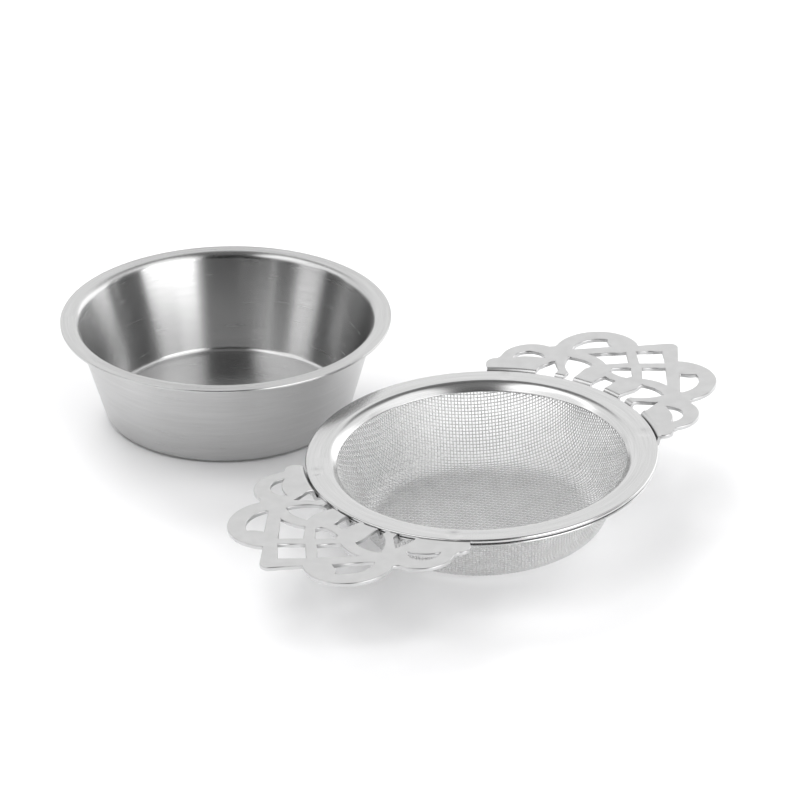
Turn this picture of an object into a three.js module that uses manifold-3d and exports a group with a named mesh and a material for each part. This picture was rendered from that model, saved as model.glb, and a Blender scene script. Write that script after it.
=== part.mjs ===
// Two-piece tea strainer: a tapered drip bowl, and a wire-mesh strainer with two pierced knot handles
// that stands beside it. Millimetres, +Z up. The origin is the centre of the bowl's base on the table.

import * as THREE from 'three';
import Module from 'manifold-3d';

const wasm = await Module();
wasm.setup();

// ---- Driving sizes -------------------------------------------------------------------------------

// Drip bowl
const bowlHeight = 24.6;          // table to the top of the flange
const bowlRimRadius = 40;         // outer edge of the flange
const bowlFlangeWidth = 2.6;      // flat part of the flange, before it rolls into the wall
const bowlWall = 0.7;             // sheet thickness
const bowlRimRoll = 1.3;          // radius where the flange turns down into the wall
const bowlBaseRadius = 28;        // flat part of the base, outside
const bowlBaseCorner = 2.2;       // outside radius between base and wall

// Strainer rim: one dished ring over the clamped edge of the mesh, and a second ring under it
const rimTopHeight = 18.3;        // underside of the mesh to the top of the rim, along the strainer's axis
const rimRadius = 40.35;          // outer edge
const rimFlatWidth = 4.2;         // flat outer band
const rimBendRun = 1.6;           // bend between the flat band and the cone, measured across the rim
const rimMouthRadius = 33.2;      // inner edge, where the mesh shows
const rimDishAngle = 40;          // slope of the cone inside the bend, in degrees
const rimSheet = 0.6;             // sheet thickness
const rimBeadHeight = 0.95;       // height of the rolled outer edge
const clampSheet = 0.5;           // sheet thickness of the ring below
const clampInset = 0.15;          // how far the clamp ring's edge lies inside the rim's edge
const clampMouthInset = 1.3;      // how far its inner edge lies outside the rim's inner edge
const sheetGap = 0.1;             // clearance between the stacked sheets

// Mesh basket
const clothThickness = 0.4;       // two wires where they cross
const clothEdgeInset = 3.05;      // how far the cloth's edge lies inside the rim's edge
const clothDrop = 0.7;            // from the rim's inner edge down to where the wall starts
const basketDraw = 8.7;           // how far the wall draws in from the rim's inner edge to the floor's edge
const basketFloorSag = 0.6;       // how far the floor's centre lies below its edge
const basketCorner = 5;           // outside radius between floor and wall

// Handles
const handleSheet = 0.9;          // sheet thickness
const handleLift = 0.25;          // how far the handle's face stands above the rim
const foldStart = 1.45;           // from the rim's outer edge out to where the face starts to bend down
const foldBend = 0.7;             // radius of both bends, at the middle of the sheet
const foldSlope = 75;             // degrees, between the face and the step
const footReach = 2.75;           // how far the welded feet reach in under the rim
const footGap = 0.2;              // clearance between the feet and the clamp ring
const handlePlaces = {            // degrees from +X, and how far each stands off its centre line
  handle_far: { angle: 45.3, shift: -1.4 },
  handle_near: { angle: 224.6, shift: -0.4 },
};

// Where the strainer stands, and how it leans on its rounded mesh
const standGap = 4.8;             // between the two rims, seen from above
const standBearing = -44.05;      // degrees from +X, from the bowl towards the strainer
const leanAngle = 2.14;           // degrees
const leanUphill = 15.7;          // degrees from +X, the side of the rim that stands highest

// Facets
const ringFacets = 60;
const arcStep = 18;               // degrees per facet on turned profiles
const planArcStep = 15;           // degrees per facet on the handle's outline

// ---- Materials -----------------------------------------------------------------------------------

const steel = (color, roughness) => new THREE.MeshStandardMaterial({ color, roughness, metalness: 1 });
const bowlSteel = steel(0xc9cbcd, 0.28);
const rimSteel = steel(0xd3d4d5, 0.3);
const clampSteel = steel(0xbfc1c3, 0.35);
const wireSteel = steel(0xb4b6b8, 0.4);
const handleSteel = steel(0xd0d1d2, 0.32);

// ---- Small helpers -------------------------------------------------------------------------------

const rad = THREE.MathUtils.degToRad;
const point = (x, y) => new THREE.Vector2(x, y);

// Points on an arc, from one angle to another in degrees, both ends included
function arc(centre, radius, from, to, step = arcStep) {
  const count = Math.max(1, Math.ceil(Math.abs(to - from) / step));
  return Array.from({ length: count + 1 }, (_, i) => {
    const angle = rad(from + (to - from) * i / count);
    return point(centre.x + radius * Math.cos(angle), centre.y + radius * Math.sin(angle));
  });
}

// Points on a smooth curve through one middle point
function bow(start, middle, end, count = 5) {
  const control = middle.clone().multiplyScalar(2).sub(start.clone().add(end).multiplyScalar(0.5));
  return new THREE.QuadraticBezierCurve(start, control, end).getPoints(count);
}

// The same profile moved sideways by a distance, to the left of its direction of travel
function offset(profile, distance) {
  return profile.map((p, i) => {
    const before = profile[Math.max(i - 1, 0)];
    const after = profile[Math.min(i + 1, profile.length - 1)];
    const along = after.clone().sub(before).normalize();
    return point(p.x - along.y * distance, p.y + along.x * distance);
  });
}

// A turned solid from a closed loop of (radius, height) points
function turned(loop) {
  const area = THREE.ShapeUtils.area(loop);
  const outward = area > 0 ? loop : [...loop].reverse();
  const onAxis = outward.some((p) => p.x < 1e-6);
  const profile = onAxis ? outward : [...outward, outward[0]];
  const geometry = new THREE.LatheGeometry(profile, ringFacets);
  geometry.rotateX(Math.PI / 2);
  return geometry;
}

function toManifold(geometry) {
  const position = geometry.getAttribute('position');
  const keyToIndex = new Map();
  const vertices = [];
  const remap = [];
  for (let i = 0; i < position.count; i++) {
    const xyz = [position.getX(i), position.getY(i), position.getZ(i)];
    const key = xyz.map((v) => Math.round(v * 1e5)).join(',');
    if (!keyToIndex.has(key)) {
      keyToIndex.set(key, vertices.length / 3);
      vertices.push(...xyz);
    }
    remap.push(keyToIndex.get(key));
  }
  const order = geometry.index ? Array.from(geometry.index.array) : remap.map((_, i) => i);
  const triangles = [];
  for (let i = 0; i < order.length; i += 3) {
    const [a, b, c] = [remap[order[i]], remap[order[i + 1]], remap[order[i + 2]]];
    if (a !== b && b !== c && c !== a) triangles.push(a, b, c);
  }
  return new wasm.Manifold(new wasm.Mesh({
    numProp: 3,
    vertProperties: new Float32Array(vertices),
    triVerts: new Uint32Array(triangles),
  }));
}

function fromManifold(solid) {
  const mesh = solid.getMesh();
  const geometry = new THREE.BufferGeometry();
  geometry.setAttribute('position', new THREE.BufferAttribute(new Float32Array(mesh.vertProperties), 3));
  geometry.setIndex(new THREE.BufferAttribute(new Uint32Array(mesh.triVerts), 1));
  const flat = geometry.toNonIndexed();
  flat.computeVertexNormals();
  return flat;
}

function part(name, geometry, material) {
  const mesh = new THREE.Mesh(geometry, material);
  mesh.name = name;
  return mesh;
}

// ---- Drip bowl -----------------------------------------------------------------------------------

// One sheet from the base's centre up to the flange. The straight wall touches the round corner at the
// base and the round turn under the flange.
function dripBowl() {
  const flangeTop = bowlHeight;
  const flangeInner = bowlRimRadius - bowlFlangeWidth;
  const cornerCentre = point(bowlBaseRadius, bowlBaseCorner);
  const rollCentre = point(flangeInner, flangeTop - bowlWall - bowlRimRoll);
  const between = rollCentre.clone().sub(cornerCentre);
  const lean = Math.asin((bowlBaseCorner + bowlRimRoll) / between.length());
  const wallAngle = THREE.MathUtils.radToDeg(between.angle() + lean);
  const outside = [
    point(0, 0),
    ...arc(cornerCentre, bowlBaseCorner, -90, wallAngle - 90),
    ...arc(rollCentre, bowlRimRoll, wallAngle + 90, 90),
  ];
  const inside = [
    ...arc(rollCentre, bowlRimRoll + bowlWall, 90, wallAngle + 90),
    ...arc(cornerCentre, bowlBaseCorner - bowlWall, wallAngle - 90, -90),
    point(0, bowlWall),
  ];
  const edgeCentre = point(bowlRimRadius - bowlWall / 2, flangeTop - bowlWall / 2);
  const edge = arc(edgeCentre, bowlWall / 2, -90, 90, 45);
  return part('drip_bowl', turned([...outside, ...edge, ...inside]), bowlSteel);
}

// ---- Strainer rim, clamp ring and mesh -----------------------------------------------------------

// Height of the rim's top face: a flat band, a bend, and a cone down to the mouth
function dishHeight(radius) {
  const depth = Math.max(rimRadius - rimFlatWidth - radius, 0);
  const inBend = Math.min(depth, rimBendRun);
  const slope = Math.tan(rad(rimDishAngle));
  return rimTopHeight - slope * inBend * inBend / (2 * rimBendRun) - slope * (depth - inBend);
}

// The rim's top face from one radius out to another
function dishCurve(innerRadius, outerRadius) {
  const bendSteps = 4;
  const bendInner = rimRadius - rimFlatWidth - rimBendRun;
  const bend = Array.from({ length: bendSteps + 1 }, (_, i) => bendInner + rimBendRun * i / bendSteps);
  const inside = bend.filter((radius) => radius > innerRadius && radius < outerRadius);
  return [innerRadius, ...inside, outerRadius].map((radius) => point(radius, dishHeight(radius)));
}

function rimRing() {
  const beadRadius = rimSheet / 2 + sheetGap;
  const beadCentre = rimRadius - beadRadius;
  const top = dishCurve(rimMouthRadius, beadCentre);
  const under = offset(dishCurve(rimMouthRadius, beadCentre - beadRadius), -rimSheet).reverse();
  const bead = [
    ...arc(point(beadCentre, rimTopHeight - beadRadius), beadRadius, 90, 0, 30).slice(1),
    ...arc(point(beadCentre, rimTopHeight - rimBeadHeight + beadRadius), beadRadius, 0, -90, 30),
    point(beadCentre - beadRadius, rimTopHeight - rimBeadHeight),
  ];
  return part('rim_ring', turned([...top, ...bead, ...under]), rimSteel);
}

// How far below the dish curve each stacked sheet lies
const clothTop = rimSheet + sheetGap;
const clothBottom = clothTop + clothThickness;
const clampTop = clothBottom + sheetGap;
const clampBottom = clampTop + clampSheet;

function clampRing() {
  const innerRadius = rimMouthRadius + clampMouthInset;
  const edgeCentre = rimRadius - clampInset - clampSheet / 2;
  const dish = dishCurve(innerRadius, edgeCentre);
  const edgeMiddle = point(edgeCentre, rimTopHeight - clampTop - clampSheet / 2);
  const edge = arc(edgeMiddle, clampSheet / 2, 90, -90, 45);
  const top = offset(dish, -clampTop);
  const bottom = offset(dish, -clampBottom).reverse();
  return part('clamp_ring', turned([...top, ...edge.slice(1, -1), ...bottom]), clampSteel);
}

// Outside of the basket, from the centre of the floor out and up to the bend under the rim
function basketOutside() {
  const basketFloorRadius = rimMouthRadius - basketDraw;
  const floorSteps = 4;
  const floor = Array.from({ length: floorSteps }, (_, i) => {
    const share = i / floorSteps;
    return point(basketFloorRadius * share, basketFloorSag * share * share);
  });
  const floorSlope = Math.atan(2 * basketFloorSag / basketFloorRadius);
  const cornerCentre = point(
    basketFloorRadius - basketCorner * Math.sin(floorSlope),
    basketFloorSag + basketCorner * Math.cos(floorSlope),
  );
  const wallTopRadius = rimMouthRadius + sheetGap * 2 + rimSheet / 2 + clothThickness;
  const wallTop = point(wallTopRadius, dishHeight(rimMouthRadius) - clothDrop);
  const toTop = wallTop.clone().sub(cornerCentre);
  const touch = toTop.angle() - Math.acos(basketCorner / toTop.length());
  const corner = arc(cornerCentre, basketCorner, THREE.MathUtils.radToDeg(floorSlope) - 90,
    THREE.MathUtils.radToDeg(touch), 12);
  return [...floor, ...corner, wallTop];
}

function meshBasket() {
  const outside = basketOutside();
  const inside = offset(outside, clothThickness);
  inside[0] = point(0, clothThickness);
  const wallTop = outside[outside.length - 1];
  const borderOuter = rimRadius - clothEdgeInset;
  const borderDish = dishCurve(wallTop.x + clothThickness / 2, borderOuter);
  const borderUnder = offset(borderDish, -clothBottom);
  const borderOver = offset(borderDish, -clothTop).reverse();
  const loop = [...outside, ...borderUnder, ...borderOver, ...inside.reverse()];
  return part('mesh_basket', turned(loop), wireSteel);
}

// How far the leaning strainer is raised so that its lowest point touches the table
function restLift() {
  const tilt = rad(leanAngle);
  return Math.max(...basketOutside().map((p) => p.x * Math.sin(tilt) - p.y * Math.cos(tilt)));
}

// ---- Handles -------------------------------------------------------------------------------------
// Plan of one handle: x runs across it, and y runs out from the rim's outer edge. Every outline is drawn
// for the x > 0 half and mirrored.

const mirrored = (points) => points.map((p) => point(-p.x, p.y)).reverse();
const bothHalves = (half) => [...half, ...mirrored(half)];

const tipLength = 28.55;          // rim to the rounded tip
const tipRadius = 2.2;
const tipHalfAngle = 41;          // degrees between the handle's centre line and each side of the tip
const bigLoop = { centre: point(12, 13.95), outer: 10.3, hole: 6.6, holeShift: point(-0.7, 0) };
const smallLoop = { centre: point(21.6, 1.05), outer: 7.3, hole: 3.8, holeShift: point(0.2, -0.5) };
const endTab = { centre: point(26.4, -6.05), outer: 2.4 };
const tipNotch = point(6.3, 22.45);
const loopNotch = point(21.5, 9.35);
const tabNotch = point(27.8, -3.05);
const notchEase = 5;              // degrees of each arc that are left out beside a notch
const tabEase = 12;
const tabEnd = -70;               // degrees, where the end tab's edge meets the feet

const rimAxis = point(0, -rimRadius);
const footInnerRadius = rimRadius - footReach;
const cutMargin = 2.5;            // how far a cut runs past what it cuts
const pastFeet = -footReach - cutMargin;

const angleTo = (from, to) => THREE.MathUtils.radToDeg(Math.atan2(to.y - from.y, to.x - from.x));

function handleOutline() {
  const tip = arc(point(0, tipLength - tipRadius), tipRadius, 90, tipHalfAngle, planArcStep);
  const big = arc(bigLoop.centre, bigLoop.outer, angleTo(bigLoop.centre, tipNotch) - notchEase,
    angleTo(bigLoop.centre, loopNotch) + notchEase, planArcStep);
  const small = arc(smallLoop.centre, smallLoop.outer, angleTo(smallLoop.centre, loopNotch) - notchEase,
    angleTo(smallLoop.centre, tabNotch) + notchEase, planArcStep);
  const tab = arc(endTab.centre, endTab.outer, angleTo(endTab.centre, tabNotch) - tabEase, tabEnd,
    planArcStep * 2);
  const feet = arc(rimAxis, footInnerRadius, angleTo(rimAxis, tab[tab.length - 1]), 90, planArcStep / 3);
  return bothHalves([
    ...tip, tipNotch, ...big, loopNotch, ...small, tabNotch, ...tab, ...feet.slice(0, -1),
  ]);
}

// Openings between the strands. Those that run out to the rim pass the inner end of the feet.
function handleOpenings() {
  const tipWindow = [point(0, 23.85), point(4.55, 19.65), point(0, 15.65), point(-4.55, 19.65)];
  const sideWindow = [
    point(6.25, 17.85), ...bow(point(12.5, 11.35), point(9.2, 11.4), point(5.7, 10.25)), point(2.2, 14.15),
  ];
  const rootSide = [point(3.1, 9.55), point(2.6, 8.15), point(0.9, 7.8)];
  const rootWindow = [point(0, 12.55), ...bothHalves(rootSide)];
  const loopSide = bigLoop.centre.clone().add(bigLoop.holeShift);
  const loopEdge = arc(loopSide, bigLoop.hole, -25, 66, planArcStep);
  const loopHole = [
    point(10.9, 17.85), point(16.9, 10.95), ...loopEdge,
    ...bow(loopEdge[loopEdge.length - 1], point(12.8, 18.75), point(10.9, 17.85)).slice(1, -1),
  ];
  const leaf = [
    ...bow(point(7.7, 7.75), point(11.3, 8.35), point(15, 7.25)),
    ...bow(point(15, 7.25), point(12.9, 3.65), point(9.7, 1.35)).slice(1),
    point(8.7, pastFeet), point(6.2, pastFeet), point(7.4, 2.05), point(8.1, 5.05),
  ];
  const crescentSide = smallLoop.centre.clone().add(smallLoop.holeShift);
  const crescentEdge = arc(crescentSide, smallLoop.hole, 135, -35, planArcStep);
  const crescentEnd = crescentEdge[crescentEdge.length - 1];
  const crescent = [
    ...crescentEdge, ...bow(crescentEnd, point(23.1, 1.05), crescentEdge[0]).slice(1, -1),
  ];
  const notch = [
    point(16.3, 3.65), point(16.9, -1.15), point(15, pastFeet), point(10.5, pastFeet), point(12.4, 0.65),
  ];
  const centreSlot = bothHalves([point(1.6, 5.25), point(2, 2.85), point(2, pastFeet)]);
  const paired = [sideWindow, loopHole, leaf, crescent, notch];
  return [tipWindow, rootWindow, centreSlot, ...paired, ...paired.map(mirrored)];
}

const faceMiddle = rimTopHeight + handleLift - handleSheet / 2;
const footMiddle = rimTopHeight - clampBottom - footGap - handleSheet / 2;

// The bent sheet that the handle is cut from, turned about the strainer's axis: a flat face, a sloping step
// down past the rim, and a foot under the clamp ring
function bentSheet() {
  const bendRise = foldBend * (1 - Math.cos(rad(foldSlope)));
  const bendRun = foldBend * Math.sin(rad(foldSlope));
  const stepRun = (faceMiddle - footMiddle - 2 * bendRise) / Math.tan(rad(foldSlope));
  const upper = point(rimRadius + foldStart, faceMiddle - foldBend);
  const lower = point(upper.x - 2 * bendRun - stepRun, footMiddle + foldBend);
  const middle = [
    point(footInnerRadius - cutMargin, footMiddle),
    ...arc(lower, foldBend, -90, foldSlope - 90),
    ...arc(upper, foldBend, foldSlope + 90, 90),
    point(rimRadius + tipLength + cutMargin, faceMiddle),
  ];
  return turned([...offset(middle, -handleSheet / 2), ...offset(middle, handleSheet / 2).reverse()]);
}

function plate(outline, shift, low, high) {
  const ordered = THREE.ShapeUtils.area(outline) < 0 ? [...outline].reverse() : outline;
  const shape = new THREE.Shape(ordered);
  const geometry = new THREE.ExtrudeGeometry(shape, { depth: high - low, bevelEnabled: false });
  return geometry.translate(shift, rimRadius, low);
}

function handle(name, { angle, shift }) {
  const low = footMiddle - handleSheet;
  const high = faceMiddle + handleSheet;
  let solid = toManifold(plate(handleOutline(), shift, low, high)).intersect(toManifold(bentSheet()));
  for (const opening of handleOpenings()) {
    solid = solid.subtract(toManifold(plate(opening, shift, low - cutMargin, high + cutMargin)));
  }
  const mesh = part(name, fromManifold(solid), handleSteel);
  mesh.rotation.z = rad(angle - 90);
  return mesh;
}

// ---- Assembly ------------------------------------------------------------------------------------

const strainer = new THREE.Group();
strainer.add(rimRing(), clampRing(), meshBasket());
for (const [name, place] of Object.entries(handlePlaces)) strainer.add(handle(name, place));
const leanAxis = new THREE.Vector3(Math.sin(rad(leanUphill)), -Math.cos(rad(leanUphill)), 0);
strainer.quaternion.setFromAxisAngle(leanAxis, rad(leanAngle));
const standDistance = bowlRimRadius + standGap + rimRadius;
strainer.position.set(
  standDistance * Math.cos(rad(standBearing)), standDistance * Math.sin(rad(standBearing)), restLift(),
);

const teaStrainer = new THREE.Group();
teaStrainer.add(dripBowl(), strainer);

export default teaStrainer;
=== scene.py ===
"""Looks of the two-piece tea strainer: a brushed drip bowl, and a woven wire basket under a dished rim
with two pierced knot handles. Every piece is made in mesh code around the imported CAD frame, in metres."""

import math

import bpy
import numpy as np
from mathutils import Matrix, Vector
from mathutils.geometry import delaunay_2d_cdt


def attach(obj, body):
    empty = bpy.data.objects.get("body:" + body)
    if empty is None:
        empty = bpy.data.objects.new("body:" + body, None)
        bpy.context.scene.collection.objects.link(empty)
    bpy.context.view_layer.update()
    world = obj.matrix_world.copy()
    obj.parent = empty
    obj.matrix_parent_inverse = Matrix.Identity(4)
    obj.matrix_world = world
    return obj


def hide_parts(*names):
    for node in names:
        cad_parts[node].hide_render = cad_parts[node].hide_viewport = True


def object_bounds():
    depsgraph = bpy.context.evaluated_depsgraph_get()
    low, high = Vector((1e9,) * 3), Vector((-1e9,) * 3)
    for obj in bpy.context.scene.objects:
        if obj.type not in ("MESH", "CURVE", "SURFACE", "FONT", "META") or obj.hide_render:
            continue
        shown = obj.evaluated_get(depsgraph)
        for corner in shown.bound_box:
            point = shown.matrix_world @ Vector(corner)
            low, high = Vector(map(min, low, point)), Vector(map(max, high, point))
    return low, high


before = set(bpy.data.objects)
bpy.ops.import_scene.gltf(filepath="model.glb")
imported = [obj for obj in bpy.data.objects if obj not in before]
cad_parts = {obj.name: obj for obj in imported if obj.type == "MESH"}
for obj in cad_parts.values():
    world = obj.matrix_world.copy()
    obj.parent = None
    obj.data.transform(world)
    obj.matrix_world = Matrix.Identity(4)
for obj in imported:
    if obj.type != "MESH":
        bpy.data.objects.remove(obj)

MM = 0.001
SAME = 1e-6                    # metres, below which two places are one
cad_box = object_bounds()


# ---- Camera --------------------------------------------------------------------------------------

CAMERA_PLACE = Vector((0.041965, -0.832210, 0.430706))
CAMERA_PITCH = 27.283          # degrees below the horizon
CAMERA_ROLL = -0.2476          # degrees
CAMERA_LENS = 172.44           # mm
SENSOR = 36                    # mm


def make_camera():
    data = bpy.data.cameras.new("camera")
    data.lens, data.sensor_width = CAMERA_LENS, SENSOR
    data.clip_start, data.clip_end = 0.05, 20
    camera = bpy.data.objects.new("camera", data)
    tilt = Matrix.Rotation(math.radians(90 - CAMERA_PITCH), 4, "X")
    roll = Matrix.Rotation(math.radians(CAMERA_ROLL), 4, "Z")
    camera.matrix_world = Matrix.Translation(CAMERA_PLACE) @ tilt @ roll
    bpy.context.scene.collection.objects.link(camera)
    bpy.context.scene.camera = camera


# ---- Sizes read from the frame -------------------------------------------------------------------

def node_points(name):
    """The corners of a CAD node, each once."""
    points = [v.co[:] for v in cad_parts[name].data.vertices]
    return np.unique(np.round(np.array(points, float), 7), axis=0)


def find_strainer_place():
    """Where the leaning strainer stands: its own Z runs up its axis, from under the basket's floor."""
    ring = node_points("rim_ring")
    centre = ring.mean(0)
    axis = np.linalg.svd(ring - centre, full_matrices=False)[2][2]
    axis = axis * np.sign(axis[2])
    origin = centre + axis * ((node_points("mesh_basket") - centre) @ axis).min()
    across = np.array((1.0, 0, 0)) - axis * axis[0]
    across /= np.linalg.norm(across)
    place = Matrix.Identity(4)
    for column, direction in enumerate((across, np.cross(axis, across), axis)):
        place.col[column][:3] = direction
    place.translation = origin
    return place


STRAINER = find_strainer_place()
BOWL = Matrix.Identity(4)


def local_points(name):
    """A CAD node's corners in the strainer's own frame."""
    return place_points(STRAINER.inverted(), node_points(name))


def place_points(place, points):
    matrix = np.array(place)
    return points @ matrix[:3, :3].T + matrix[:3, 3]


def radii(points):
    return np.hypot(points[:, 0], points[:, 1])


RIM_POINTS = local_points("rim_ring")
RIM_TOP = RIM_POINTS[:, 2].max()
RIM_RADIUS = radii(RIM_POINTS).max()
RIM_MOUTH = radii(RIM_POINTS).min()

HANDLE_PLACES = {              # degrees from +X, and how far each stands off its centre line, in mm
    "handle_far": (45.3, -1.4),
    "handle_near": (224.6, -0.4),
}


# ---- Making meshes -------------------------------------------------------------------------------

def add_piece(name, vertices, faces, normals, material, place, body, replaced):
    """One named piece from its vertices, faces and smooth normals, riding on a body."""
    mesh = bpy.data.meshes.new(name)
    mesh.from_pydata([tuple(v) for v in vertices], [], faces)
    mesh.validate()
    mesh.polygons.foreach_set("use_smooth", [True] * len(mesh.polygons))
    if normals is not None:
        mesh.normals_split_custom_set_from_vertices([tuple(n) for n in normals])
    mesh.materials.append(material)
    piece = bpy.data.objects.new(name, mesh)
    piece.matrix_world = place
    bpy.context.scene.collection.objects.link(piece)
    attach(piece, body)
    if replaced:
        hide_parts(replaced)
    return piece


def arc(centre, radius, start, end, step=6):
    """Points on an arc from one angle to another, in degrees, both ends included."""
    count = max(1, math.ceil(abs(end - start) / step))
    angles = np.radians(np.linspace(start, end, count + 1))
    return [(centre[0] + radius * math.cos(a), centre[1] + radius * math.sin(a)) for a in angles]


def bow(start, middle, end, count=12):
    """Points on a smooth curve through one middle point."""
    a, m, b = (np.array(p, float) for p in (start, middle, end))
    control = 2 * m - (a + b) / 2
    shares = np.linspace(0, 1, count + 1)
    return [tuple((1 - t) ** 2 * a + 2 * t * (1 - t) * control + t * t * b) for t in shares]


def sideways(profile, distance):
    """The same profile moved sideways, to the left of its direction of travel."""
    p = np.array(profile, float)
    along = np.gradient(p, axis=0)
    along /= np.linalg.norm(along, axis=1)[:, None]
    return [tuple(q) for q in p + np.stack((-along[:, 1], along[:, 0]), 1) * distance]


def round_corners(loop, radius, closed=True, sharp=25, steps=4):
    """Gives each corner of a loop that turns by more than sharp degrees a small round edge."""
    p = [np.array(q, float) for q in loop]
    made = []
    for i, here in enumerate(p):
        if not closed and i in (0, len(p) - 1):
            made.append(tuple(here))
            continue
        before, after = p[i - 1] - here, p[(i + 1) % len(p)] - here
        a, b = np.linalg.norm(before), np.linalg.norm(after)
        turn = math.pi - math.acos(np.clip(before @ after / (a * b), -1, 1))
        if math.degrees(turn) < sharp:
            made.append(tuple(here))
            continue
        reach = min(radius * math.tan(turn / 2), a * 0.45, b * 0.45)
        start, end = here + before / a * reach, here + after / b * reach
        for t in np.linspace(0, 1, steps + 1):
            made.append(tuple((1 - t) ** 2 * start + 2 * t * (1 - t) * here + t * t * end))
    return made


def lathe(loop, turns):
    """Vertices, faces and normals of a turned solid, from a counter-clockwise loop of (radius, height)."""
    p = np.array(loop, float)
    edge = np.roll(p, -1, axis=0) - p
    out = np.stack((edge[:, 1], -edge[:, 0]), 1)
    normal = out + np.roll(out, 1, axis=0)
    normal /= np.linalg.norm(normal, axis=1)[:, None]
    on_axis = p[:, 0] < 1e-9
    normal[on_axis] = np.sign(normal[on_axis]) * (0, 1)
    angles = np.arange(turns) * 2 * math.pi / turns
    vertices, normals, rings = [], [], []
    for (r, z), (nr, nz), pole in zip(p, normal, on_axis):
        around = [0] if pole else angles
        rings.append([len(vertices) + i for i in range(len(around))] * (turns if pole else 1))
        vertices += [(r * math.cos(a), r * math.sin(a), z) for a in around]
        normals += [(nr * math.cos(a), nr * math.sin(a), nz) for a in around]
    faces = []
    for i, ring in enumerate(rings):
        after = rings[(i + 1) % len(rings)]
        if on_axis[i] and on_axis[(i + 1) % len(rings)]:
            continue
        for k in range(turns):
            m = (k + 1) % turns
            corners = [ring[k], ring[m], after[m], after[k]]
            faces.append(list(dict.fromkeys(corners)))
    return np.array(vertices), faces, np.array(normals)


def counter_clockwise(loop):
    p = np.array(loop, float)
    q = np.roll(p, -1, axis=0)
    area = np.sum(p[:, 0] * q[:, 1] - q[:, 0] * p[:, 1])
    return loop if area > 0 else loop[::-1]


# ---- Materials -----------------------------------------------------------------------------------

class Nodes:
    """A material's node tree, with short calls to add to it."""

    def __init__(self, name):
        self.material = bpy.data.materials.new(name)
        self.material.use_nodes = True
        self.tree = self.material.node_tree
        self.shader = self.tree.nodes["Principled BSDF"]

    def add(self, kind, inputs=(), **settings):
        node = self.tree.nodes.new(kind)
        for key, value in settings.items():
            setattr(node, key, value)
        for key, value in dict(inputs).items():
            if isinstance(value, bpy.types.NodeSocket):
                self.tree.links.new(value, node.inputs[key])
            else:
                node.inputs[key].default_value = value
        return node

    def math(self, operation, *values):
        return self.add("ShaderNodeMath", dict(enumerate(values)), operation=operation).outputs[0]

    def spread(self, value, low, high, from_low=0.3, from_high=0.7):
        """The value taken to the range from low to high."""
        return self.add("ShaderNodeMapRange", {"Value": value, "From Min": from_low, "From Max": from_high,
                                               "To Min": low, "To Max": high}).outputs[0]

    def noise(self, vector, scale, detail=3.0):
        node = self.add("ShaderNodeTexNoise", {"Vector": vector, "Scale": scale, "Detail": detail})
        return node.outputs["Fac"]

    def turned_vector(self, along):
        """Coordinates that run fast across the turning lines and slowly along them."""
        place = self.add("ShaderNodeTexCoord").outputs["Object"]
        x, y, z = self.add("ShaderNodeSeparateXYZ", {0: place}).outputs
        squares = self.math("ADD", self.math("MULTIPLY", x, x), self.math("MULTIPLY", y, y))
        radius = self.math("SQRT", squares)
        angle = self.math("ARCTAN2", y, x)
        slow = self.math("MULTIPLY", angle, along)
        return self.add("ShaderNodeCombineXYZ", {0: radius, 1: z, 2: slow}).outputs[0]

    def finish(self, grey, rough, height, depth, metal=1.0):
        """Joins colour, roughness and relief to the shader."""
        colour = self.add("ShaderNodeCombineColor", {0: grey, 1: grey, 2: grey}).outputs[0]
        self.tree.links.new(colour, self.shader.inputs["Base Color"])
        self.tree.links.new(rough, self.shader.inputs["Roughness"])
        bump = self.add("ShaderNodeBump", {"Height": height, "Distance": depth, "Strength": 1.0})
        self.tree.links.new(bump.outputs[0], self.shader.inputs["Normal"])
        self.shader.inputs["Metallic"].default_value = metal
        return self.material


def turned_steel(name, grey, rough, anisotropy, relief):
    """Steel brushed along its turning lines, as on the bowl and the rings."""
    n = Nodes(name)
    lines = n.noise(n.turned_vector(0.0008), 4200, 3.0)
    broad = n.noise(n.turned_vector(0.002), 900, 2.0)
    both = n.math("ADD", n.math("MULTIPLY", lines, 0.7), n.math("MULTIPLY", broad, 0.3))
    tangent = n.add("ShaderNodeTangent", direction_type="RADIAL", axis="Z").outputs[0]
    n.tree.links.new(tangent, n.shader.inputs["Tangent"])
    n.shader.inputs["Anisotropic"].default_value = anisotropy
    n.shader.inputs["Anisotropic Rotation"].default_value = 0.25
    return n.finish(n.spread(both, grey * 0.93, grey * 1.06), n.spread(both, rough * 1.12, rough * 0.9),
                    both, relief)


def sheet_steel(name, grey, rough, relief):
    """Rolled sheet steel, tumbled after stamping: an even satin with broad, faint changes."""
    n = Nodes(name)
    place = n.add("ShaderNodeTexCoord").outputs["Object"]
    tumbled = n.noise(place, 350, 2.0)
    return n.finish(n.spread(tumbled, grey * 0.97, grey * 1.03),
                    n.spread(tumbled, rough * 1.06, rough * 0.94), tumbled, relief)


def wire_steel(name, grey, rough, relief):
    """Drawn wire, with small changes of shade from wire to wire."""
    n = Nodes(name)
    place = n.add("ShaderNodeTexCoord").outputs["Object"]
    stains = n.noise(place, 260, 2.0)
    fine = n.noise(place, 9000, 2.0)
    return n.finish(n.spread(stains, grey * 0.94, grey * 1.04), n.spread(fine, rough * 1.15, rough * 0.85),
                    fine, relief, 0.72)


# ---- Drip bowl -----------------------------------------------------------------------------------

BOWL_WALL = 0.7 * MM
BOWL_FLANGE = 2.6 * MM         # flat part of the flange
BOWL_ROLL = 1.3 * MM           # radius where the flange turns down into the wall
BOWL_CORNER = 2.2 * MM         # outside radius between base and wall
LIP_ROUND = 0.2 * MM           # the lip's two edges
BOWL_TURNS = 288


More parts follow.
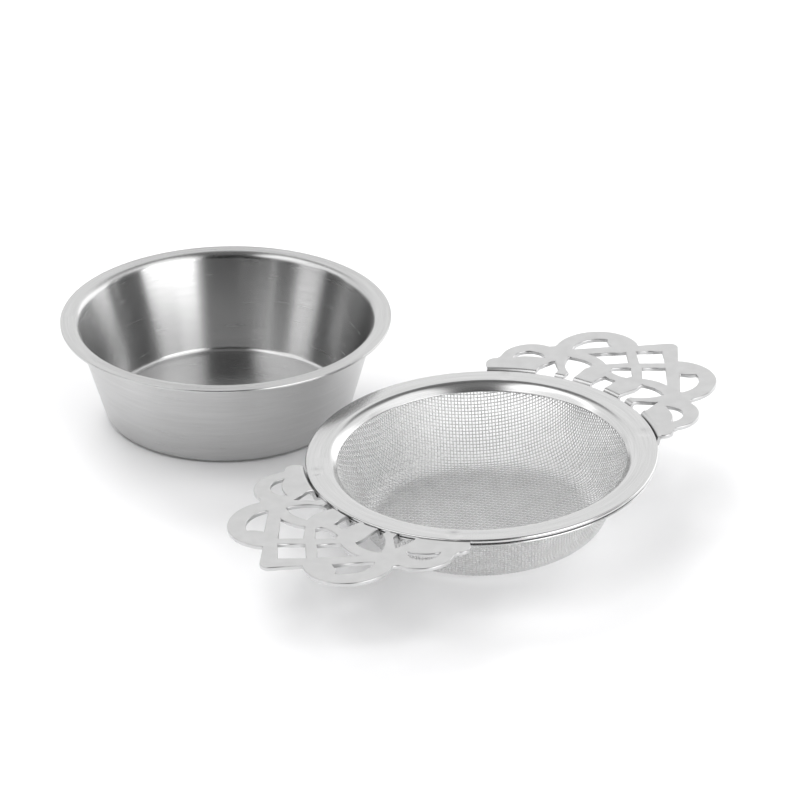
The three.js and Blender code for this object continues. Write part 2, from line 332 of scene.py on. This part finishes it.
def bowl_loop():
    points = node_points("drip_bowl")
    height, rim = points[:, 2].max(), radii(points).max()
    base = radii(points[points[:, 2] < SAME]).max()
    corner = (base, BOWL_CORNER)
    roll = (rim - BOWL_FLANGE, height - BOWL_WALL - BOWL_ROLL)
    run, rise = roll[0] - corner[0], roll[1] - corner[1]
    lean = math.asin((BOWL_CORNER + BOWL_ROLL) / math.hypot(run, rise))
    wall = math.degrees(math.atan2(rise, run) + lean)
    outside = [(0, 0)] + arc(corner, BOWL_CORNER, -90, wall - 90) + arc(roll, BOWL_ROLL, wall + 90, 90)
    inside = arc(roll, BOWL_ROLL + BOWL_WALL, 90, wall + 90)
    inside += arc(corner, BOWL_CORNER - BOWL_WALL, wall - 90, -90) + [(0, BOWL_WALL)]
    low = arc((rim - LIP_ROUND, height - BOWL_WALL + LIP_ROUND), LIP_ROUND, -90, 0, 22.5)
    high = arc((rim - LIP_ROUND, height - LIP_ROUND), LIP_ROUND, 0, 90, 22.5)
    return outside + low + high + inside


def make_bowl():
    vertices, faces, normals = lathe(counter_clockwise(bowl_loop()), BOWL_TURNS)
    steel = turned_steel("bowl brushed steel", 0.56, 0.25, 0.93, 0.0000011)
    add_piece("drip_bowl_shell", vertices, faces, normals, steel, BOWL, "bowl", "drip_bowl")


# ---- Rim, clamp ring and the surface of the mesh -------------------------------------------------

RIM_FLAT = 4.2 * MM            # flat outer band of the rim
RIM_BEND = 2.3 * MM            # bend between the flat band and the cone, measured across the rim
RIM_SLOPE = math.radians(45)   # slope of the cone inside the bend
RIM_SHEET = 0.6 * MM
RIM_BEAD = 0.95 * MM           # height of the rolled outer edge
SHEET_GAP = 0.1 * MM
CLAMP_SHEET = 0.5 * MM
CLOTH = 0.4 * MM               # two wires where they cross
RING_TURNS = 360
RIM_ROUND = 0.18 * MM          # the rim's cut edges
CLAMP_ROUND = 0.12 * MM


def dish_height(radius):
    """Height of the rim's top face: a flat band, a bend, and a cone down to the mouth."""
    depth = np.clip(RIM_RADIUS - RIM_FLAT - radius, 0, None)
    bend = np.minimum(depth, RIM_BEND)
    slope = math.tan(RIM_SLOPE)
    return RIM_TOP - slope * bend ** 2 / (2 * RIM_BEND) - slope * (depth - bend)


def dish(inner, outer, count=40):
    return [(r, float(dish_height(r))) for r in np.linspace(inner, outer, count)]


def rim_loop():
    bead = RIM_SHEET / 2 + SHEET_GAP
    centre = RIM_RADIUS - bead
    top = dish(RIM_MOUTH, centre)
    under = sideways(dish(RIM_MOUTH, centre - bead), -RIM_SHEET)[::-1]
    edge = arc((centre, RIM_TOP - bead), bead, 90, 0, 15)[1:]
    edge += arc((centre, RIM_TOP - RIM_BEAD + bead), bead, 0, -90, 15)
    return round_corners(top + edge + [(centre - bead, RIM_TOP - RIM_BEAD)] + under, RIM_ROUND)


def clamp_loop():
    points = local_points("clamp_ring")
    inner, outer = radii(points).min(), radii(points).max()
    depth = RIM_SHEET + SHEET_GAP + CLOTH + SHEET_GAP
    half = CLAMP_SHEET / 2
    shape = dish(inner - depth * math.sin(RIM_SLOPE), outer - half)
    top = sideways(shape, -depth)
    bottom = sideways(shape, -depth - CLAMP_SHEET)[::-1]
    edge = arc((outer - half, RIM_TOP - depth - half), half, 90, -90, 22.5)[1:-1]
    return round_corners(top + edge + bottom, CLAMP_ROUND)


WELD_ANGLE = 35                # degrees from each handle's centre line to its two welds
WELD_RADIUS = 38.1 * MM
WELD_DENT = 0.26 * MM
WELD_WIDTH = 2.6 * MM


def dent_welds(vertices):
    """The shallow dents that spot welding leaves on the rim above the ends of the handles."""
    for angle, _ in HANDLE_PLACES.values():
        for side in (-1, 1):
            a = math.radians(angle + side * WELD_ANGLE)
            weld = WELD_RADIUS * np.array((math.cos(a), math.sin(a)))
            away = radii(vertices[:, :2] - weld)
            share = np.clip(1 - (away / WELD_WIDTH) ** 2, 0, 1) ** 2
            vertices[:, 2] -= WELD_DENT * share
    return vertices


def make_rings():
    vertices, faces, _ = lathe(counter_clockwise(rim_loop()), 2 * RING_TURNS)
    steel = turned_steel("rim brushed steel", 0.61, 0.19, 0.15, 0.0000003)
    add_piece("rim_ring_turned", dent_welds(vertices), faces, None, steel, STRAINER, "strainer",
              "rim_ring")
    vertices, faces, normals = lathe(counter_clockwise(clamp_loop()), RING_TURNS)
    steel = turned_steel("clamp brushed steel", 0.6, 0.24, 0.6, 0.0000003)
    add_piece("clamp_ring_turned", vertices, faces, normals, steel, STRAINER, "strainer",
              "clamp_ring")


# ---- Woven basket --------------------------------------------------------------------------------

FLOOR_RADIUS = RIM_MOUTH - 8.7 * MM  # edge of the nearly flat floor, outside
FLOOR_SAG = 0.6 * MM
BASKET_CORNER = 5 * MM         # outside radius between floor and wall
CLOTH_DROP = 0.7 * MM          # from the rim's inner edge down to where the wall starts
CLOTH_BORDER = 2.6 * MM        # cloth held between the two rings
PITCH = 0.79 * MM              # from wire to wire
WIRE = 0.125 * MM              # wire radius
RIPPLE = 0.075 * MM            # how far each wire swings to either side of the cloth's middle
WEAVE_TURN = math.radians(2)
WIRE_SIDES = 6
NET_STEPS = 8                  # of Newton's method, for each crossing


def basket_profile():
    """The middle of the cloth, from the centre of the floor out, up the wall and in under the rim."""
    half = CLOTH / 2
    floor = [(r, FLOOR_SAG * (r / FLOOR_RADIUS) ** 2 + half) for r in np.linspace(0, FLOOR_RADIUS, 40)[:-1]]
    slope = math.atan(2 * FLOOR_SAG / FLOOR_RADIUS)
    centre = np.array((FLOOR_RADIUS - BASKET_CORNER * math.sin(slope),
                       FLOOR_SAG + BASKET_CORNER * math.cos(slope)))
    top = np.array((RIM_MOUTH + 2 * SHEET_GAP + RIM_SHEET / 2 + CLOTH,
                    dish_height(RIM_MOUTH) - CLOTH_DROP))
    away = top - centre
    touch = math.atan2(away[1], away[0]) - math.acos(BASKET_CORNER / np.linalg.norm(away))
    corner = arc(centre, BASKET_CORNER - half, math.degrees(slope) - 90, math.degrees(touch), 3)
    wall_top = top - half * np.array((math.cos(touch), math.sin(touch)))
    border = sideways(dish(top[0] + 0.9 * MM, top[0] + CLOTH_BORDER, 8), -(RIM_SHEET + SHEET_GAP + half))
    wall = [tuple(corner[-1] + (wall_top - corner[-1]) * t) for t in np.linspace(0, 0.9, 20)[1:]]
    bend = bow(wall[-1], (wall_top[0] + 0.25 * MM, wall_top[1] + 0.35 * MM), border[0], 8)[1:-1]
    return np.array(floor + corner + wall + bend + border)


def weave_quarter(profile):
    """Crossings of an unstretched cloth pressed into the basket, over one quarter: each lies one pitch from
    its two neighbours along the surface."""
    radius, height = profile.T
    slope = np.gradient(height, radius)
    length = np.append(0, np.cumsum(np.hypot(np.diff(radius), np.diff(height))))
    count = int(length[-1] / PITCH) + 1
    axis = np.interp(np.arange(count) * PITCH, length, radius)
    net = np.full((count, count, 2), np.nan)
    net[:, 0] = np.stack((axis, 0 * axis), 1)
    net[0, :] = np.stack((0 * axis, axis), 1)
    lift = lambda p: np.append(p, np.interp(math.hypot(*p), radius, height))
    for i in range(1, count):
        for j in range(1, count):
            a, b, corner = net[i - 1, j], net[i, j - 1], net[i - 1, j - 1]
            if np.isnan(a).any() or np.isnan(b).any():
                continue
            p = a + b - corner
            a, b = lift(a), lift(b)
            for _ in range(NET_STEPS):
                r = math.hypot(*p)
                here = lift(p)
                steep = np.interp(r, radius, slope) * p / r
                error = [(here - q) @ (here - q) - PITCH ** 2 for q in (a, b)]
                grow = [2 * (here - q)[:2] + 2 * (here - q)[2] * steep for q in (a, b)]
                p = p - np.linalg.solve(np.array(grow), error)
            if math.hypot(*p) < radius[-1]:
                net[i, j] = p
    return net


def weave_net(profile):
    """The crossings of the whole cloth, and the outward direction of the surface at each."""
    quarter = weave_quarter(profile)
    half = np.concatenate((quarter[:0:-1] * (-1, 1), quarter))
    plan = np.concatenate((half[:, :0:-1] * (1, -1), half), 1)
    c, s = math.cos(WEAVE_TURN), math.sin(WEAVE_TURN)
    plan = plan @ np.array(((c, s), (-s, c)))
    r = np.hypot(plan[..., 0], plan[..., 1])
    height = np.interp(r, profile[:, 0], profile[:, 1])
    steep = np.interp(r, profile[:, 0], np.gradient(profile[:, 1], profile[:, 0]))
    outward = plan / np.maximum(r, 1e-9)[..., None] * steep[..., None]
    normal = np.concatenate((outward, -np.ones_like(r)[..., None]), 2)
    normal /= np.linalg.norm(normal, axis=2)[..., None]
    return np.concatenate((plan, height[..., None]), 2), normal


def wire_tube(points, normals):
    """Vertices, faces and normals of one wire along its points."""
    along = np.gradient(points, axis=0)
    along /= np.linalg.norm(along, axis=1)[:, None]
    side = np.cross(along, normals)
    side /= np.linalg.norm(side, axis=1)[:, None]
    up = np.cross(side, along)
    angles = np.arange(WIRE_SIDES) * 2 * math.pi / WIRE_SIDES
    out = side[:, None] * np.cos(angles)[None, :, None] + up[:, None] * np.sin(angles)[None, :, None]
    vertices = (points[:, None] + WIRE * out).reshape(-1, 3)
    n = len(points)
    faces = []
    for i in range(n - 1):
        for k in range(WIRE_SIDES):
            m = (k + 1) % WIRE_SIDES
            a, b = i * WIRE_SIDES, (i + 1) * WIRE_SIDES
            faces.append((a + k, b + k, b + m, a + m))
    faces.append(tuple(range(WIRE_SIDES)))
    faces.append(tuple((n - 1) * WIRE_SIDES + k for k in reversed(range(WIRE_SIDES))))
    return vertices, faces, out.reshape(-1, 3)


def weave_line(points, normals, index, over):
    """One wire's path: over and under its neighbours, level half way between them."""
    ripple = RIPPLE * over * (-1.0) ** (np.arange(len(points)) + index)
    crossing = points + normals * ripple[:, None]
    middle = (points[1:] + points[:-1]) / 2
    path = np.empty((2 * len(points) - 1, 3))
    path[::2], path[1::2] = crossing, middle
    facing = np.empty_like(path)
    facing[::2], facing[1::2] = normals, (normals[1:] + normals[:-1]) / 2
    return path, facing


def make_wires(name, net, normals, over, first, last, material, replaced):
    """One piece that holds a run of parallel wires."""
    vertices, faces, outs, total = [], [], [], 0
    for i in range(first, last):
        valid = np.flatnonzero(~np.isnan(net[i, :, 0]))
        gaps_before = np.cumsum(np.diff(valid, prepend=valid[:1]) > 1)
        valid = valid[gaps_before == 0]
        if len(valid) < 4:
            continue
        path, facing = weave_line(net[i, valid], normals[i, valid], i + valid[0], over)
        v, f, n = wire_tube(path, facing)
        faces += [tuple(total + k for k in face) for face in f]
        vertices.append(v)
        outs.append(n)
        total += len(v)
    stood = place_points(STRAINER, np.concatenate(vertices))
    add_piece(name, stood, faces, None, material, Matrix.Identity(4), "strainer", replaced)


def make_basket():
    net, normals = weave_net(basket_profile())
    steel = wire_steel("drawn wire", 0.72, 0.32, 0.0000003)
    middle, end = net.shape[0] // 2, net.shape[0]
    weft = net.swapaxes(0, 1), normals.swapaxes(0, 1)
    for way, (grid, facing), over in (("warp", (net, normals), 1), ("weft", weft, -1)):
        for part, first, last in (("a", 0, middle), ("b", middle, end)):
            make_wires(f"mesh_{way}_{part}", grid, facing, over, first, last, steel, "mesh_basket")


# ---- Handles -------------------------------------------------------------------------------------
# Plan of one handle, in millimetres: x runs across it and y runs out from the rim's outer edge. Outlines
# are drawn for the x > 0 half and mirrored.

TIP, TIP_RADIUS, TIP_HALF_ANGLE = 28.55, 2.2, 41.3
BIG_LOOP, BIG_OUTER, BIG_HOLE = (12, 13.95), 10.3, 6.65
SMALL_LOOP, SMALL_OUTER, SMALL_HOLE = (21.6, 1.05), 7.35, 3.8
END_TAB, END_OUTER = (26.4, -6.05), 2.4
TIP_NOTCH, LOOP_NOTCH, TAB_NOTCH = (6.3, 22.45), (21.5, 9.35), (27.9, -3.05)
FOOT_REACH = 2.75              # how far the feet reach in under the rim
PAST_FEET = -FOOT_REACH - 2.5
EDGE = RIM_RADIUS / MM
FOOT_INNER = EDGE - FOOT_REACH

HANDLE_SHEET = 0.9
HANDLE_LIFT = 0.25             # how far the handle's face stands above the rim
FOLD_START = EDGE + 1.45       # where the face starts to bend down
FOLD_RADIUS = 0.7              # of the sheet's middle, in both bends
FOLD_SLOPE = math.radians(75)  # between the face and the step
FOOT_DROP = 2.15               # from the middle of the face to the middle of the feet
STAMP_ROUND = 0.2              # the edge that the punch rounds, on the face
BURR_ROUND = 0.1               # the edge on the underside


def mirrored(points):
    return [(-x, y) for x, y in reversed(points)]


def both_halves(half):
    return half + mirrored(half)


def angle_to(start, end):
    return math.degrees(math.atan2(end[1] - start[1], end[0] - start[0]))


def handle_outline():
    tip = arc((0, TIP - TIP_RADIUS), TIP_RADIUS, 90, 90 - TIP_HALF_ANGLE - 8, 4)
    big = arc(BIG_LOOP, BIG_OUTER, angle_to(BIG_LOOP, TIP_NOTCH) - 6,
              angle_to(BIG_LOOP, LOOP_NOTCH) + 4, 2.5)
    small = arc(SMALL_LOOP, SMALL_OUTER, angle_to(SMALL_LOOP, LOOP_NOTCH) - 6,
                angle_to(SMALL_LOOP, TAB_NOTCH) + 4, 3)
    tab = arc(END_TAB, END_OUTER, angle_to(END_TAB, TAB_NOTCH) - 12, -70, 8)
    inner = arc((0, -EDGE), FOOT_INNER, angle_to((0, -EDGE), tab[-1]), 90, 1.5)
    return both_halves(tip + [TIP_NOTCH] + big + [LOOP_NOTCH] + small + [TAB_NOTCH] + tab + inner[:-1])


def handle_openings():
    tip = [(0, 23.85), (4.55, 19.65), (0, 15.65), (-4.55, 19.65)]
    root = both_halves([(0.01, 12.55), (3.1, 9.55), (2.6, 8.15), (0.9, 7.8)])
    side = [(6.25, 17.85)] + bow((12.5, 11.35), (9.2, 11.4), (5.7, 10.25)) + [(2.2, 14.15)]
    loop = [(10.9, 17.85), (16.9, 10.95)] + arc((BIG_LOOP[0] - 0.7, BIG_LOOP[1]), BIG_HOLE, -25, 66, 3)
    loop += bow(loop[-1], (12.8, 18.75), loop[0])[1:-1]
    leaf = bow((7.7, 7.75), (11.3, 8.35), (15, 7.25)) + bow((15, 7.25), (12.9, 3.65), (9.7, 1.35))[1:]
    leaf += [(8.7, PAST_FEET), (6.2, PAST_FEET), (7.4, 2.05), (8.1, 5.05)]
    crescent = arc((SMALL_LOOP[0] + 0.2, SMALL_LOOP[1] - 0.5), SMALL_HOLE, 135, -35, 4)
    crescent += bow(crescent[-1], (23.1, 1.05), crescent[0])[1:-1]
    notch = [(16.3, 3.65), (16.9, -1.15), (15, PAST_FEET), (10.5, PAST_FEET), (12.4, 0.65)]
    slot = both_halves([(1.6, 5.25), (2, 2.85), (2, PAST_FEET)])
    paired = [side, loop, leaf, crescent, notch]
    return [tip, root, slot] + paired + [mirrored(p) for p in paired]


BEND = FOLD_RADIUS * FOLD_SLOPE
BEND_RUN = FOLD_RADIUS * math.sin(FOLD_SLOPE)
STEP = (FOOT_DROP - 2 * FOLD_RADIUS * (1 - math.cos(FOLD_SLOPE))) / math.sin(FOLD_SLOPE)
FOLD_END = FOLD_START - 2 * BEND_RUN - STEP * math.cos(FOLD_SLOPE)
DEVELOPED = 2 * BEND + STEP + FOLD_END - FOOT_INNER


def develop(points, shift):
    """Plan points taken to the flat blank: inside the fold they are stretched to the bent length."""
    p = np.array(points, float) + (shift, EDGE)
    r = np.hypot(*p.T)
    inside = FOLD_START - r
    stretched = np.where(inside > 0, FOLD_START - inside * DEVELOPED / (FOLD_START - FOOT_INNER), r)
    return p * (stretched / r)[:, None]


def fold(flat, thickness, lean):
    """Places and normals on the folded sheet, for points of the blank at a distance from its middle.
    lean holds each normal on the blank: its two parts in the blank's plane and the one across it."""
    r = np.hypot(*flat.T)
    radial = flat / r[:, None]
    w = np.clip(FOLD_START - r, 0, None)
    first = np.clip(w / FOLD_RADIUS, 0, FOLD_SLOPE)
    step = np.clip(w - BEND, 0, STEP)
    second = np.clip((w - BEND - STEP) / FOLD_RADIUS, 0, FOLD_SLOPE)
    foot = np.clip(w - 2 * BEND - STEP, 0, None)
    turn = first - second
    half_turned = math.sin(FOLD_SLOPE) - np.sin(FOLD_SLOPE - second)
    half_risen = np.cos(FOLD_SLOPE - second) - math.cos(FOLD_SLOPE)
    run = FOLD_RADIUS * (np.sin(first) + half_turned) + step * math.cos(FOLD_SLOPE) + foot
    height = -FOLD_RADIUS * (1 - np.cos(first) + half_risen) - step * math.sin(FOLD_SLOPE)
    radius = np.where(w > 0, FOLD_START - run, r)
    normal_r, normal_z = -np.sin(turn), np.cos(turn)
    place = np.concatenate((radial * (radius + thickness * normal_r)[:, None],
                            (height + thickness * normal_z)[:, None]), 1)
    out_r = (lean[:, :2] * radial).sum(1)
    around = lean[:, :2] - radial * out_r[:, None]
    normal = np.concatenate((around + radial * (out_r * np.cos(turn) + lean[:, 2] * normal_r)[:, None],
                             (out_r * np.sin(turn) + lean[:, 2] * normal_z)[:, None]), 1)
    return place, normal


def blank_triangles(shift):
    """The handle's blank as triangles, with lines across it where the sheet bends."""
    loops = [handle_outline()] + handle_openings()
    points, edges, faces = [], [], []
    for loop in loops:
        start = len(points)
        points += [Vector(p) for p in develop(counter_clockwise(loop), shift)]
        faces.append(list(range(start, len(points))))
    for w in np.append(np.linspace(0, BEND, 5), np.linspace(BEND + STEP, 2 * BEND + STEP, 5)):
        start = len(points)
        points += [Vector(p) for p in arc((0, 0), FOLD_START - w, 40, 140, 1.5)]
        edges += [(k, k + 1) for k in range(start, len(points) - 1)]
    made = delaunay_2d_cdt(points, edges, faces, 1, 1e-5, True)
    kept = [f for f, whose in zip(made[2], made[5]) if 0 in whose and len(whose) == 1]
    used = sorted({k for f in kept for k in f})
    index = {k: i for i, k in enumerate(used)}
    flat = np.array([made[0][k][:] for k in used])
    return flat, [[index[k] for k in f] for f in kept]


def boundary_after(triangles):
    """For each point on an edge of the sheet, the next one, with the material on the left."""
    directed = {(f[k], f[(k + 1) % 3]) for f in triangles for k in range(3)}
    return {a: b for a, b in directed if (b, a) not in directed}


def inward(flat, after):
    """Directions into the material at the edge points, longer at corners to keep the inset even."""
    into = np.zeros_like(flat)
    before = {b: a for a, b in after.items()}
    for k, following in after.items():
        sides = []
        for a, b in ((before[k], k), (k, following)):
            d = flat[b] - flat[a]
            sides.append(np.array((-d[1], d[0])) / np.linalg.norm(d))
        both = sides[0] + sides[1]
        into[k] = both / max(1 + sides[0] @ sides[1], 0.5)
    return into


def handle_mesh(shift):
    """Vertices, faces and normals of one handle, with the middle of its face at height zero."""
    flat, triangles = blank_triangles(shift)
    after = boundary_after(triangles)
    into = inward(flat, after)
    out = -into / np.maximum(np.linalg.norm(into, axis=1), 1e-9)[:, None]
    edge = np.array(sorted(after))
    row = {k: i for i, k in enumerate(edge)}
    half = HANDLE_SHEET / 2
    places, normals, faces = [], [], []

    def layer(which, inset, height, angle):
        start = sum(map(len, places))
        lean = np.concatenate((out[which] * math.cos(angle), np.full((len(which), 1), math.sin(angle))), 1)
        place, normal = fold(flat[which] + into[which] * inset, np.full(len(which), height), lean)
        places.append(place)
        normals.append(normal)
        return start

    everything = np.arange(len(flat))
    top = layer(everything, STAMP_ROUND, half, math.pi / 2)
    faces += [[top + k for k in f] for f in triangles]
    bottom = layer(everything, BURR_ROUND, -half, -math.pi / 2)
    faces += [[bottom + k for k in reversed(f)] for f in triangles]
    rings = [np.array([top + k for k in edge])]
    for a in np.radians((68, 45, 22, 0)):
        start = layer(edge, STAMP_ROUND * (1 - math.cos(a)), half - STAMP_ROUND * (1 - math.sin(a)), a)
        rings.append(start + np.arange(len(edge)))
    for a in np.radians((0, 45)):
        start = layer(edge, BURR_ROUND * (1 - math.cos(a)), BURR_ROUND * (1 - math.sin(a)) - half, -a)
        rings.append(start + np.arange(len(edge)))
    rings.append(np.array([bottom + k for k in edge]))
    for upper, lower in zip(rings, rings[1:]):
        for k, following in after.items():
            i, j = row[k], row[following]
            faces.append([upper[j], upper[i], lower[i], lower[j]])
    return np.concatenate(places), faces, np.concatenate(normals)


def make_handles():
    steel = sheet_steel("handle sheet steel", 0.59, 0.3, 0.0000001)
    lift = Matrix.Translation((0, 0, RIM_TOP + (HANDLE_LIFT - HANDLE_SHEET / 2) * MM))
    for name, (angle, shift) in HANDLE_PLACES.items():
        vertices, faces, normals = handle_mesh(shift)
        place = STRAINER @ Matrix.Rotation(math.radians(angle - 90), 4, "Z") @ lift
        stood = place_points(place, vertices * MM)
        facing = place_points(place.to_3x3().to_4x4(), normals)
        add_piece(name + "_stamped", stood, faces, facing, steel, Matrix.Identity(4), "strainer",
                  name)


# ---- Stage: floor, world and lights --------------------------------------------------------------

def make_floor():
    mesh = bpy.data.meshes.new("floor")
    reach = 4
    corners = [(-reach, -reach, 0), (reach, -reach, 0), (reach, reach, 0), (-reach, reach, 0)]
    mesh.from_pydata(corners, [], [(0, 1, 2, 3)])
    material = bpy.data.materials.new("pale floor")
    material.use_nodes = True
    shader = material.node_tree.nodes["Principled BSDF"]
    shader.inputs["Base Color"].default_value = (0.93, 0.93, 0.935, 1)
    shader.inputs["Roughness"].default_value = 0.6
    shader.inputs["Specular IOR Level"].default_value = 0.15
    mesh.materials.append(material)
    floor = bpy.data.objects.new("floor", mesh)
    bpy.context.scene.collection.objects.link(floor)


class World:
    """The studio round the object: an even surround with brighter and darker panels, by direction."""

    def __init__(self):
        world = bpy.data.worlds.new("studio")
        bpy.context.scene.world = world
        world.use_nodes = True
        self.tree = world.node_tree
        self.background = self.tree.nodes["Background"]
        generated = self.add("ShaderNodeTexCoord").outputs["Generated"]
        self.direction = x, y, z = self.add("ShaderNodeSeparateXYZ", {0: generated}).outputs[:]
        self.azimuth = self.product(self.math("ARCTAN2", x, self.product(y, -1.0)), 180 / math.pi)
        self.elevation = self.product(self.math("ARCSINE", z), 180 / math.pi)

    def add(self, kind, inputs=(), **settings):
        return Nodes.add(self, kind, inputs, **settings)

    def math(self, operation, *values):
        return Nodes.math(self, operation, *values)

    def product(self, first, second):
        return self.math("MULTIPLY", first, second)

    def step(self, value, start, soft):
        """0 below start, 1 above it, with a soft edge as wide as soft."""
        node = self.add("ShaderNodeMapRange", {"Value": value, "From Min": start - soft / 2,
                                               "From Max": start + soft / 2},
                        interpolation_type="SMOOTHSTEP")
        return node.outputs[0]

    def between(self, value, low, high, soft):
        return self.math("SUBTRACT", self.step(value, low, soft), self.step(value, high, soft))

    def panel(self, left, right, low, high, soft=4, soft_up=6):
        """A mask over a box of azimuths and elevations, in degrees. Azimuth 0 is the camera's side."""
        across = self.between(self.azimuth, left, right, soft)
        return self.product(across, self.between(self.elevation, low, high, soft_up))

    def patch(self, left, right, front, back, soft_x, soft_y):
        """A mask over part of the ceiling, by the direction's own x and y."""
        x, y = self.direction[:2]
        return self.product(self.between(y, front, back, soft_y), self.between(x, left, right, soft_x))


BACKDROP = 1.0                 # what the camera sees behind the object
SURROUND = 1.12                # what lights and is reflected, before the panels
DARKEST = 0.02
CEILING_START, CEILING_SOFT = 32, 8  # degrees above the horizon


def make_world():
    w = World()
    panels = [
        (w.panel(-99, 21, -10, 56, 8, 12), -1.1),
        (w.panel(70, 104, -10, 40, 4, 12), -0.95),
        (w.panel(104, 150, -10, 30, 4, 12), 0.9),
        (w.panel(-140, -83, -10, 10, 10, 10), -0.75),
        (w.panel(26, 69, -8, 36, 5, 12), 2.5),
        (w.panel(-81, -57, -8, 40, 5, 12), 0.8),
        (w.panel(-38, -34, -8, 36, 3, 10), 0.5),
        (w.panel(-14, -8, -8, 36, 4, 10), 0.1),
        (w.panel(94, 97, -8, 36, 2, 10), 1.4),
    ]
    ceiling = w.step(w.elevation, CEILING_START, CEILING_SOFT)
    panels += [
        (w.product(w.patch(-0.5, 0.5, 0.18, 0.64, 0.2, 0.08), ceiling), -0.9),
        (w.product(w.patch(-0.24, 0.26, -0.75, 0.2, 0.14, 0.1), ceiling), -0.88),
        (w.product(w.patch(0.3, 0.9, -0.6, 0.26, 0.14, 0.1), ceiling), 0.35),
        (w.product(w.patch(-0.9, -0.28, -0.6, 0.26, 0.14, 0.1), ceiling), 1.2),
    ]
    total = SURROUND
    for mask, strength in panels:
        total = w.math("ADD", w.product(mask, strength), total)
    seen = w.add("ShaderNodeLightPath").outputs["Is Camera Ray"]
    plain = w.product(seen, BACKDROP)
    rest = w.product(w.math("SUBTRACT", 1.0, seen), w.math("MAXIMUM", total, DARKEST))
    w.tree.links.new(w.math("ADD", plain, rest), w.background.inputs["Strength"])
    w.background.inputs["Color"].default_value = (1, 1, 1, 1)


def soft_light(name, place, target, size, power):
    data = bpy.data.lights.new(name, "AREA")
    data.shape = "RECTANGLE"
    data.size, data.size_y = size
    data.energy = power
    lamp = bpy.data.objects.new(name, data)
    lamp.location = place
    lamp.visible_glossy = False
    aim = Vector(target) - Vector(place)
    lamp.rotation_euler = aim.to_track_quat("-Z", "Y").to_euler()
    bpy.context.scene.collection.objects.link(lamp)


def make_lights():
    middle = (cad_box[0] + cad_box[1]) / 2
    soft_light("key", (-0.4, 0.95, 0.95), middle, (0.8, 0.6), 9)
    soft_light("fill", (-0.3, -0.2, 1.5), middle, (1.6, 1.6), 4.6)


make_camera()
make_bowl()
make_rings()
make_basket()
make_handles()
make_floor()
make_world()
make_lights()

bpy.context.scene.view_settings.view_transform = "Standard"
